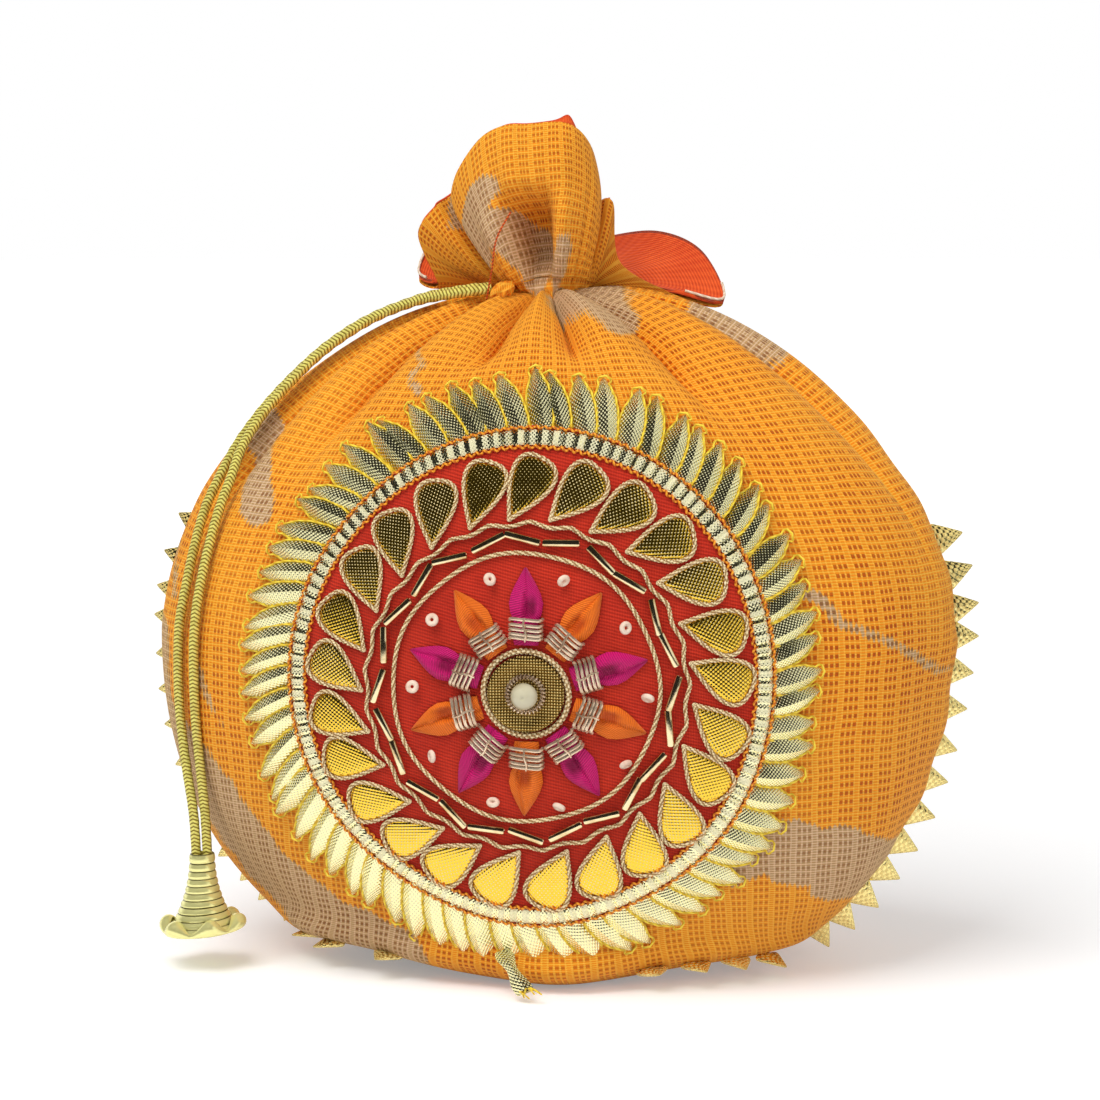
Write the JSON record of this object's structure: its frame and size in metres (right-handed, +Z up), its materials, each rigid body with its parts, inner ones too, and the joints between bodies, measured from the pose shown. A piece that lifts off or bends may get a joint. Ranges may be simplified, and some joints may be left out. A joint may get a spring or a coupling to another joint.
{
  "type": "potli bag",
  "caption": "Round drawstring potli pouch of checked saffron cloth, drawn shut under a frill, with an embroidered gold lace medallion, pointed seam trim and a cord with a bell cap.",
  "frame": {"origin": "centre of the flat base that the bag stands on", "axes": "+Z up, the medallion faces -Y, +X to the right as seen from the front"},
  "size_m": [0.2088, 0.1143, 0.2131],
  "materials": {
    "saffron_cloth": "sheer checked cotton-silk, saffron with tan dyed bands",
    "red_cloth": "plain woven red silk",
    "gold_lace": "folded metallic ribbon lace with yellow thread edges",
    "gold_tissue": "woven gold tissue",
    "zari_cord": "twisted metallic thread",
    "magenta_ribbon": "corded ribbon",
    "orange_ribbon": "corded ribbon",
    "pearl": "pearl bead",
    "lurex_cord": "braided metallic cord",
    "gold_cap": "pale gold plated cap"
  },
  "bodies": {
    "root": {"pouch": "saffron_cloth", "lining": "red_cloth", "medallion_disc": "red_cloth", "gota_ring": "gold_lace", "gota_band": "gold_lace", "vine_cord": "zari_cord", "inner_cord": "zari_cord", "centre_disc": "gold_tissue", "centre_cord": "zari_cord", "pearl_coil": "zari_cord", "pearl": "pearl", "seam_trim_right": "gold_tissue", "seam_trim_left": "gold_tissue", "neck_loop": "lurex_cord", "drawstring_outer": "lurex_cord", "drawstring_inner": "lurex_cord", "bell_cap": "gold_cap", "leaf_1": "gold_tissue", "leaf_2": "gold_tissue", "leaf_3": "gold_tissue", "leaf_4": "gold_tissue", "leaf_5": "gold_tissue", "leaf_6": "gold_tissue", "leaf_7": "gold_tissue", "leaf_8": "gold_tissue", "leaf_9": "gold_tissue", "leaf_10": "gold_tissue", "leaf_11": "gold_tissue", "leaf_12": "gold_tissue", "leaf_13": "gold_tissue", "leaf_14": "gold_tissue", "leaf_15": "gold_tissue", "leaf_16": "gold_tissue", "leaf_17": "gold_tissue", "leaf_18": "gold_tissue", "leaf_19": "gold_tissue", "leaf_20": "gold_tissue", "leaf_21": "gold_tissue", "leaf_22": "gold_tissue", "leaf_23": "gold_tissue", "leaf_24": "gold_tissue", "leaf_25": "gold_tissue", "petal_1": "magenta_ribbon", "petal_2": "orange_ribbon", "petal_3": "magenta_ribbon", "petal_4": "orange_ribbon", "petal_5": "magenta_ribbon", "petal_6": "orange_ribbon", "petal_7": "magenta_ribbon", "petal_8": "orange_ribbon", "petal_9": "magenta_ribbon", "petal_10": "orange_ribbon"}
  },
  "joints": []
}
